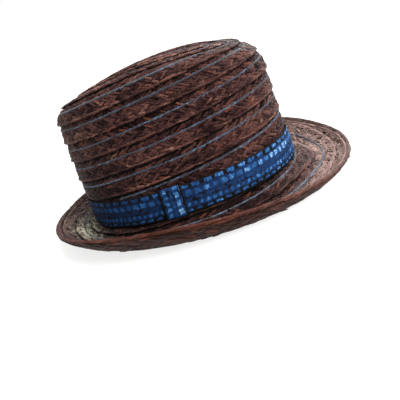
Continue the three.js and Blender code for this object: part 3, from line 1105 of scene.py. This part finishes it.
for name, low, high in (("crown_stitches", 0.8, 10.0), ("brim_stitches", -1.25, 0.8)):
    pieces[name] = layPieces(name, stitchPoints(low, high), cotton, Bend=0.5, Taper=0.6, Wobble=0.0002)

# hat band: one strip of resist-dyed indigo cotton, and its keeper

band = {
    "foot": 1.0,
    "top": spiral["bandTop"],
    "inner": 1.25,
    "outer": 2.1,
    "hemDrop": 0.4,  # mm that each hem rounds over
    "around": 480,
    "length": 600.0,
}

dye = {
    "tones": [
        (0.0, "#040506"), (0.16, "#06090f"), (0.27, "#091d3c"),
        (0.52, "#123764"), (0.80, "#2f6293"), (1.0, "#8caac2"),
    ],
    "rows": [  # mm up the band from and to, mm from cell to cell, mm of joint between cells, paleness
        (20.7, 25.4, 10.2, 2.4, 0.88),
        (14.0, 20.3, 7.4, 0.3, 0.94),
        (10.0, 14.4, 9.0, 0.5, 0.52),
        (4.8, 10.0, 5.2, 0.4, 0.92),
        (1.0, 4.7, 8.0, 2.0, 0.86),
    ],
    "middle": 13.0,  # mm up the band
    "wander": (0.28, 4.2),  # waves to the mm, and how many mm a cell's outline moves
    "creep": (0.9, 0.16, 1.0),  # waves to the mm along the strip and up it
    "backShade": (0.22, 0.84),  # swing and level of the painted shade round the hat, darker toward the back
}


def indigoMaterial():
    material, tree, shader = newMaterial("resist_dyed_indigo_cotton")
    cloth = addNode(tree, "ShaderNodeTexCoord").outputs["UV"]
    # the map is in mm; folds under the resist make every cell's outline wander
    scale, most = dye["wander"]
    wander = addNode(tree, "ShaderNodeTexNoise", {"Vector": cloth, "Scale": scale, "Detail": 3.0})
    wander = inTurn(tree, wander.outputs["Color"], ("SUBTRACT", (0.5, 0.5, 0.5)), kind="ShaderNodeVectorMath")
    wander = addNode(tree, "ShaderNodeVectorMath", {0: wander, "Scale": most}, operation="SCALE")
    moved = inTurn(tree, cloth, ("ADD", wander), kind="ShaderNodeVectorMath")
    u, v = addNode(tree, "ShaderNodeSeparateXYZ", (moved,)).outputs[:2]
    total = None
    for number, (low, high, length, gap, pale) in enumerate(dye["rows"]):
        cells = inTurn(tree, u, ("DIVIDE", length), ("ADD", 0.37 * number))
        fromEnd = inTurn(tree, cells, ("PINGPONG", 0.5), ("MULTIPLY", length))
        soft, least = (0.9, 0.0) if gap > 1 else (2.0, 0.45)  # narrow joints only dim the cloth
        sockets = {"Value": fromEnd, "From Min": gap / 2, "From Max": gap / 2 + soft, "To Min": least}
        sides = addNode(tree, "ShaderNodeMapRange", sockets)
        middle, reach = (low + high) / 2, (high - low) / 2
        fromMiddle = inTurn(tree, v, ("SUBTRACT", middle), ("ABSOLUTE", None))
        sockets = {"Value": fromMiddle, "From Min": reach, "From Max": max(reach - 1.5, 0.1)}
        ends = addNode(tree, "ShaderNodeMapRange", sockets)
        whole = {"W": inTurn(tree, cells, ("FLOOR", None))}
        own = addNode(tree, "ShaderNodeTexWhiteNoise", whole, noise_dimensions="1D").outputs["Value"]
        strength = inTurn(tree, own, ("MULTIPLY", pale * 0.35), ("ADD", pale * 0.65))
        cell = inTurn(tree, sides, ("MULTIPLY", ends), ("MULTIPLY", strength))
        total = cell if total is None else inTurn(tree, total, ("MAXIMUM", cell))
    sockets = {"Vector": moved, "Scale": 0.75, "Detail": 4.0, "Roughness": 0.7}
    bleed = addNode(tree, "ShaderNodeTexNoise", sockets)
    blots = addNode(tree, "ShaderNodeTexNoise", {"Vector": cloth, "Scale": 0.12, "Detail": 2.0})
    # between the cells the cloth is black where the dye pooled and near both hems, deep blue elsewhere
    sockets = {"Value": blots, "From Min": 0.36, "From Max": 0.46, "To Min": 0.05, "To Max": 0.34}
    pooled = addNode(tree, "ShaderNodeMapRange", sockets)
    inner = inTurn(tree, v, ("SUBTRACT", dye["middle"]), ("ABSOLUTE", None))
    inner = addNode(tree, "ShaderNodeMapRange", {"Value": inner, "From Min": 8.8, "From Max": 8.0})
    total = inTurn(tree, total, ("MAXIMUM", inTurn(tree, pooled, ("MULTIPLY", inner))))
    # fine streaks across the strip, where the dye crept between its folds
    creep = inTurn(tree, cloth, ("MULTIPLY", dye["creep"]), kind="ShaderNodeVectorMath")
    sockets = {"Vector": creep, "Scale": 1.0, "Detail": 3.0, "Roughness": 0.65}
    streaks = addNode(tree, "ShaderNodeTexNoise", sockets)
    mottle = inTurn(tree, bleed, ("ADD", streaks), ("MULTIPLY", 1.5), ("ADD", -0.58))
    # painted shade: the strip is drawn darker toward the back of the hat
    swing, level = dye["backShade"]
    shadeRoundHat = inTurn(tree, u, ("MULTIPLY", fullTurn / band["length"]), ("COSINE", None))
    shadeRoundHat = inTurn(tree, shadeRoundHat, ("MULTIPLY", swing), ("ADD", level))
    hem = addNode(tree, "ShaderNodeSeparateXYZ", (cloth,)).outputs["Y"]
    hem = inTurn(tree, hem, ("SUBTRACT", dye["middle"]), ("ABSOLUTE", None))
    hem = addNode(tree, "ShaderNodeMapRange", {"Value": hem, "From Min": 12.9, "From Max": 11.6})
    total = inTurn(tree, total, ("MULTIPLY", mottle), ("MULTIPLY", shadeRoundHat), ("MULTIPLY", hem))
    colour = addNode(tree, "ShaderNodeValToRGB", (total,), dye["tones"]).outputs["Color"]
    # plain weave, threads drawn 0.7 mm apart so that they show
    sockets = {"Vector": cloth, "Scale": 0.45, "Distortion": 1.0}
    weave = addNode(tree, "ShaderNodeTexWave", sockets, bands_direction="Y").outputs["Fac"]
    slub = inTurn(tree, bleed, ("MULTIPLY", 2.0), ("ADD", weave))
    dress(tree, shader, colour, slub, 0.5, 0.0005)
    setPlain(shader, {"Roughness": 0.75, "Specular IOR Level": 0.1})
    return material


# blue cells in a black net round the crown
indigo = indigoMaterial()


def bandPiece():
    angle = np.arange(band["around"]) * fullTurn / band["around"]
    outerHeights = np.linspace(band["foot"], band["top"], 22)
    profile = [(h, band["outer"]) for h in outerHeights]
    profile[0] = (band["foot"], band["outer"] - band["hemDrop"])
    profile[-1] = (band["top"], band["outer"] - band["hemDrop"])
    profile += [(h, band["inner"]) for h in np.linspace(band["top"], band["foot"], 5)]
    rings = []
    for h, proud in profile:
        ripple = 0.16 * slowNoise(angle * 95, 3.0 * h, 41, fastest=0.5) if proud > 1.9 else 0
        rings.append(proudRing(angle, np.full(angle.shape, h), proud + ripple))
    heights = np.array([h for h, _ in profile]) - band["foot"]

    def mapOf(share, ring):
        return share * band["length"], heights[ring]

    return ringSolid("hat_band_cloth", rings, indigo, mapOf)


keeper = {
    "from": 267.3,
    "to": 277.7,
    "across": 24,
    "inner": (1.3, 2.45),  # mm proud of the crown, where it tucks in and where it lies on the band
    "outer": 3.3,
    "map": 40,  # mm along the cloth from which the strap's pattern is cut
    "dyed": ([0, 0.09, 0.13, 0.87, 0.91, 1], [0, 0.3, 4.9, 20.1, 25.7, 26]),
}


def keeperPiece():
    # a short strap folded over the band: one closed loop of cloth, rings running across it
    angle = np.radians(np.linspace(keeper["from"], keeper["to"], keeper["across"]))
    tucked, onBand = keeper["inner"]
    outer = [(0.7, tucked), (0.6, 2.6), (1.2, 3.2)]
    outer += [(h, keeper["outer"]) for h in np.linspace(3.0, 25.0, 14)]
    outer += [(26.8, 3.2), (27.6, 2.7), (27.6, tucked)]
    inner = [(26.9, tucked), (26.7, onBand)] + [(h, onBand) for h in np.linspace(24, 3, 6)]
    inner += [(1.2, 2.4), (1.1, tucked)]
    strips = []
    for h, proud in outer + inner:
        place, _, _, outward = hatFrame(angle, np.full(angle.shape, h), 3.0)
        ripple = 0.12 * slowNoise(np.degrees(angle) * 8, 2.0 * h, 43, fastest=0.5)
        strips.append(place + outward * ((proud + ripple) / 1000)[:, None])
    count, wide = len(strips), keeper["across"]
    points = np.concatenate(strips)
    faces = []
    for j in range(count):
        for i in range(wide - 1):
            a, b = j * wide + i, (j + 1) % count * wide + i
            faces.append((a, a + 1, b + 1, b))
    # the two cut ends
    halfWay = len(outer)
    for i in (0, wide - 1):
        front = [j * wide + i for j in range(halfWay)]
        back = [j * wide + i for j in range(halfWay, count)][::-1]
        places = np.linspace(0, len(back) - 1, len(front)).round().astype(int)
        for a in range(len(front) - 1):
            quad = [front[a], front[a + 1], back[places[a + 1]], back[places[a]]]
            faces.append(tuple(dict.fromkeys(quad)))
    piece = makePiece("band_keeper_cloth", points, faces, indigo)
    layer = piece.data.uv_layers.new(name="ownMap").data
    heights = np.array([h for h, _ in outer + inner])
    for loop in piece.data.loops:
        j, i = divmod(loop.vertex_index, wide)
        # its pattern runs up the hat, so the map is turned a quarter; both cut ends are dyed black
        layer[loop.index].uv = (heights[j] + keeper["map"], np.interp(i / (wide - 1), *keeper["dyed"]))
    return faceOutward(piece)


bandCloth, keeperCloth = bandPiece(), keeperPiece()

for name, piece in pieces.items():
    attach(piece, "root")
    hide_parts(name.split("_")[0])
for piece, stands in ((bandCloth, "hat_band"), (keeperCloth, "band_loop")):
    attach(piece, "root")
    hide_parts(stands)
